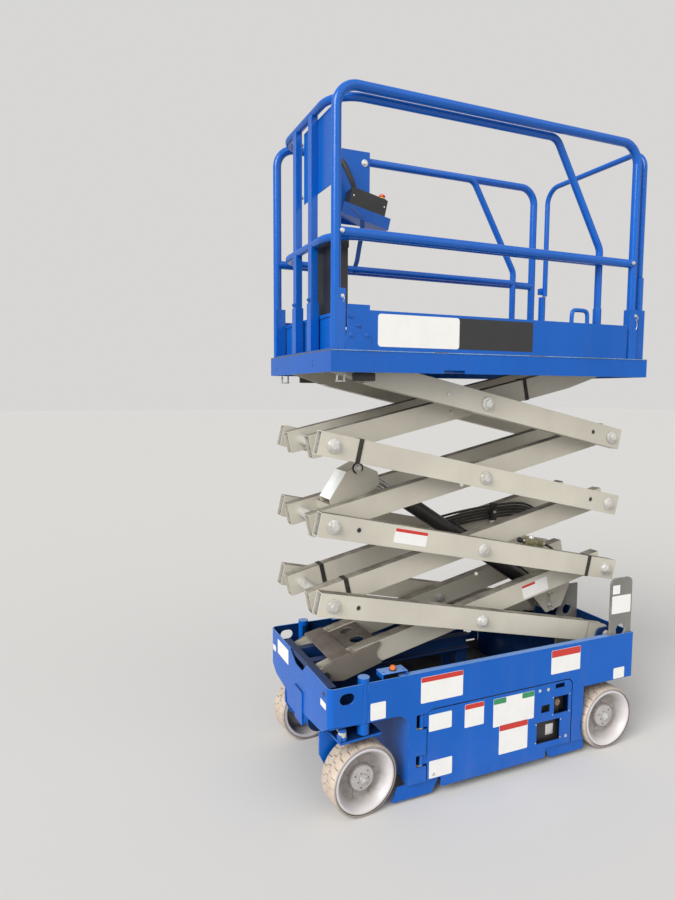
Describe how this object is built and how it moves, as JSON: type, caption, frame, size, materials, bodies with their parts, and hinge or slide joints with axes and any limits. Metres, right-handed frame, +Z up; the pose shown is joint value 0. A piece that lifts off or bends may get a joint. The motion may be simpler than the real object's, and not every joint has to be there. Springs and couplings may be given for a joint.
{
  "type": "scissor lift",
  "caption": "Electric slab scissor lift, part raised: steered chassis, crossed lifting arms, railed platform with a roll-out deck and entry gate.",
  "frame": {"origin": "on the floor under the middle of the machine", "axes": "+X forward to the steered end, +Y to the machine's left, +Z up"},
  "size_m": [1.643, 0.7824, 2.897],
  "materials": {
    "blue_paint": "gloss enamel",
    "arm_paint": "satin warm grey enamel",
    "rim_paint": "satin light grey",
    "tyre": "non-marking beige grey rubber",
    "zinc_steel": "zinc plated",
    "rod_chrome": "hard chrome",
    "black_paint": "satin black",
    "block_plastic": "bearing plastic",
    "floor_plate": "grey tread plate"
  },
  "bodies": {
    "chassis": {"chassis_shell": "blue_paint", "kingpin_housings": "blue_paint", "chassis_rails": "blue_paint", "rear_axle": "zinc_steel", "pothole_guards": "blue_paint", "rear_uprights": "arm_paint", "door_hinge_pins": "zinc_steel"},
    "door_left": {"door_left": "blue_paint", "module_left": "black_paint"},
    "door_right": {"door_right": "blue_paint", "module_right": "black_paint"},
    "yoke_left": {"yoke_left": "blue_paint"},
    "yoke_right": {"yoke_right": "blue_paint"},
    "tie_rod": {"tie_rod": "zinc_steel"},
    "outer_1": {"outer_arms_1": "arm_paint"},
    "inner_1": {"inner_arms_1": "arm_paint", "pins_1": "zinc_steel", "nose_frame": "arm_paint", "cylinder_mount_low": "arm_paint"},
    "slide_base": {"slide_blocks_base": "block_plastic"},
    "slide_top": {"slide_blocks_top": "block_plastic"},
    "outer_2": {"outer_arms_2": "arm_paint"},
    "inner_2": {"inner_arms_2": "arm_paint", "pins_2": "zinc_steel"},
    "outer_3": {"outer_arms_3": "arm_paint"},
    "inner_3": {"inner_arms_3": "arm_paint", "pins_3": "zinc_steel", "cylinder_mount_high": "arm_paint"},
    "outer_4": {"outer_arms_4": "arm_paint"},
    "inner_4": {"inner_arms_4": "arm_paint", "pins_4": "zinc_steel"},
    "lift_barrel": {"lift_barrel": "black_paint"},
    "lift_rod": {"lift_rod": "rod_chrome"},
    "platform": {"platform_frame": "blue_paint", "platform_floor": "floor_plate", "toeboards": "blue_paint", "guardrail_left": "blue_paint", "guardrail_right": "blue_paint", "gate_posts": "blue_paint"},
    "extension": {"extension_deck": "blue_paint", "extension_rails": "blue_paint", "sign_panel": "blue_paint", "document_box": "black_paint", "control_tray": "blue_paint", "control_box": "black_paint"},
    "gate": {"gate": "blue_paint"},
    "wheel_front_left": {"tyre_front_left": "tyre", "rim_front_left": "rim_paint"},
    "wheel_front_right": {"tyre_front_right": "tyre", "rim_front_right": "rim_paint"},
    "wheel_rear_left": {"tyre_rear_left": "tyre", "rim_rear_left": "rim_paint"},
    "wheel_rear_right": {"tyre_rear_right": "tyre", "rim_rear_right": "rim_paint"}
  },
  "joints": [
    {"name": "lift", "type": "hinge", "parent": "chassis", "child": "outer_1", "pos_m": [-0.723, 0, 0.535], "axis": [0, -1, 0], "range_deg": [-8.67, 46.63]},
    {"name": "inner_1_centre", "type": "hinge", "parent": "outer_1", "child": "inner_1", "pos_m": [0.01683, 0, 0.69996], "axis": [0, -1, 0], "range_deg": [-93.26, 17.34]},
    {"name": "inner_2_foot", "type": "hinge", "parent": "outer_1", "child": "inner_2", "pos_m": [0.75666, 0, 0.86493], "axis": [0, -1, 0], "range_deg": [-93.26, 17.34]},
    {"name": "outer_2_centre", "type": "hinge", "parent": "inner_2", "child": "outer_2", "pos_m": [0.01683, 0, 1.0299], "axis": [0, -1, 0], "range_deg": [-17.34, 93.26]},
    {"name": "outer_3_foot", "type": "hinge", "parent": "inner_2", "child": "outer_3", "pos_m": [-0.723, 0, 1.19486], "axis": [0, -1, 0], "range_deg": [-17.34, 93.26]},
    {"name": "inner_3_centre", "type": "hinge", "parent": "outer_3", "child": "inner_3", "pos_m": [0.01683, 0, 1.35983], "axis": [0, -1, 0], "range_deg": [-93.26, 17.34]},
    {"name": "inner_4_foot", "type": "hinge", "parent": "outer_3", "child": "inner_4", "pos_m": [0.75666, 0, 1.52479], "axis": [0, -1, 0], "range_deg": [-93.26, 17.34]},
    {"name": "outer_4_centre", "type": "hinge", "parent": "inner_4", "child": "outer_4", "pos_m": [0.01683, 0, 1.68976], "axis": [0, -1, 0], "range_deg": [-17.34, 93.26]},
    {"name": "platform_pivot", "type": "hinge", "parent": "inner_4", "child": "platform", "pos_m": [-0.723, 0, 1.85472], "axis": [0, -1, 0], "range_deg": [-8.67, 46.63]},
    {"name": "slide_base_pin", "type": "hinge", "parent": "inner_1", "child": "slide_base", "pos_m": [0.75666, 0, 0.535], "axis": [0, -1, 0], "range_deg": [-8.67, 46.63]},
    {"name": "slide_top_pin", "type": "hinge", "parent": "outer_4", "child": "slide_top", "pos_m": [0.75666, 0, 1.85472], "axis": [0, -1, 0], "range_deg": [-46.63, 8.67]},
    {"name": "cylinder_foot", "type": "hinge", "parent": "inner_1", "child": "lift_barrel", "pos_m": [-0.57476, 0, 0.67512], "axis": [0, -1, 0], "range_deg": [-15.78, 84.87]},
    {"name": "cylinder_rod", "type": "slide", "parent": "lift_barrel", "child": "lift_rod", "axis": [0.838, 0, 0.5457], "range_m": [-0.1469, 0.7895]},
    {"name": "steer_left", "type": "hinge", "parent": "chassis", "child": "yoke_left", "pos_m": [0.66, 0.354, 0.35], "axis": [0, 0, 1], "range_deg": [-64.5, 55.5]},
    {"name": "steer_right", "type": "hinge", "parent": "chassis", "child": "yoke_right", "pos_m": [0.66, -0.354, 0.35], "axis": [0, 0, 1], "range_deg": [-64.5, 55.5]},
    {"name": "tie_rod_end", "type": "hinge", "parent": "yoke_left", "child": "tie_rod", "pos_m": [0.7577, 0.36169, 0.371], "axis": [0, 0, 1], "range_deg": [-55.5, 64.5]},
    {"name": "wheel_front_left_spin", "type": "hinge", "parent": "yoke_left", "child": "wheel_front_left", "pos_m": [0.66243, 0.3231, 0.1525], "axis": [-0.0785, 0.9969, 0], "continuous": true},
    {"name": "wheel_front_right_spin", "type": "hinge", "parent": "yoke_right", "child": "wheel_front_right", "pos_m": [0.65757, -0.3231, 0.1525], "axis": [-0.0785, 0.9969, 0], "continuous": true},
    {"name": "wheel_rear_left_spin", "type": "hinge", "parent": "chassis", "child": "wheel_rear_left", "pos_m": [-0.66, 0.323, 0.1525], "axis": [0, 1, 0], "continuous": true},
    {"name": "wheel_rear_right_spin", "type": "hinge", "parent": "chassis", "child": "wheel_rear_right", "pos_m": [-0.66, -0.323, 0.1525], "axis": [0, 1, 0], "continuous": true},
    {"name": "door_left_hinge", "type": "hinge", "parent": "chassis", "child": "door_left", "pos_m": [0.392, 0.366, 0.25], "axis": [0, 0, -1], "range_deg": [0, 88]},
    {"name": "door_right_hinge", "type": "hinge", "parent": "chassis", "child": "door_right", "pos_m": [0.392, -0.366, 0.25], "axis": [0, 0, 1], "range_deg": [0, 88]},
    {"name": "gate_hinge", "type": "hinge", "parent": "platform", "child": "gate", "pos_m": [-0.783, 0.335, 2.3], "axis": [0, 0, 1], "range_deg": [0, 75]},
    {"name": "extension_slide", "type": "slide", "parent": "platform", "child": "extension", "axis": [1, 0, 0], "range_m": [0, 0.91]}
  ],
  "couplings": [
    {"joint": "inner_1_centre", "follows": "lift", "ratio": -2},
    {"joint": "inner_2_foot", "follows": "lift", "ratio": -2},
    {"joint": "outer_2_centre", "follows": "lift", "ratio": 2},
    {"joint": "outer_3_foot", "follows": "lift", "ratio": 2},
    {"joint": "inner_3_centre", "follows": "lift", "ratio": -2},
    {"joint": "inner_4_foot", "follows": "lift", "ratio": -2},
    {"joint": "outer_4_centre", "follows": "lift", "ratio": 2},
    {"joint": "platform_pivot", "follows": "lift", "ratio": 1},
    {"joint": "slide_base_pin", "follows": "lift", "ratio": 1},
    {"joint": "slide_top_pin", "follows": "lift", "ratio": -1},
    {"joint": "cylinder_foot", "follows": "lift", "ratio": 1.82},
    {"joint": "cylinder_rod", "follows": "lift", "m_per_rad": 0.97},
    {"joint": "steer_right", "follows": "steer_left", "ratio": 1},
    {"joint": "tie_rod_end", "follows": "steer_left", "ratio": -1}
  ]
}
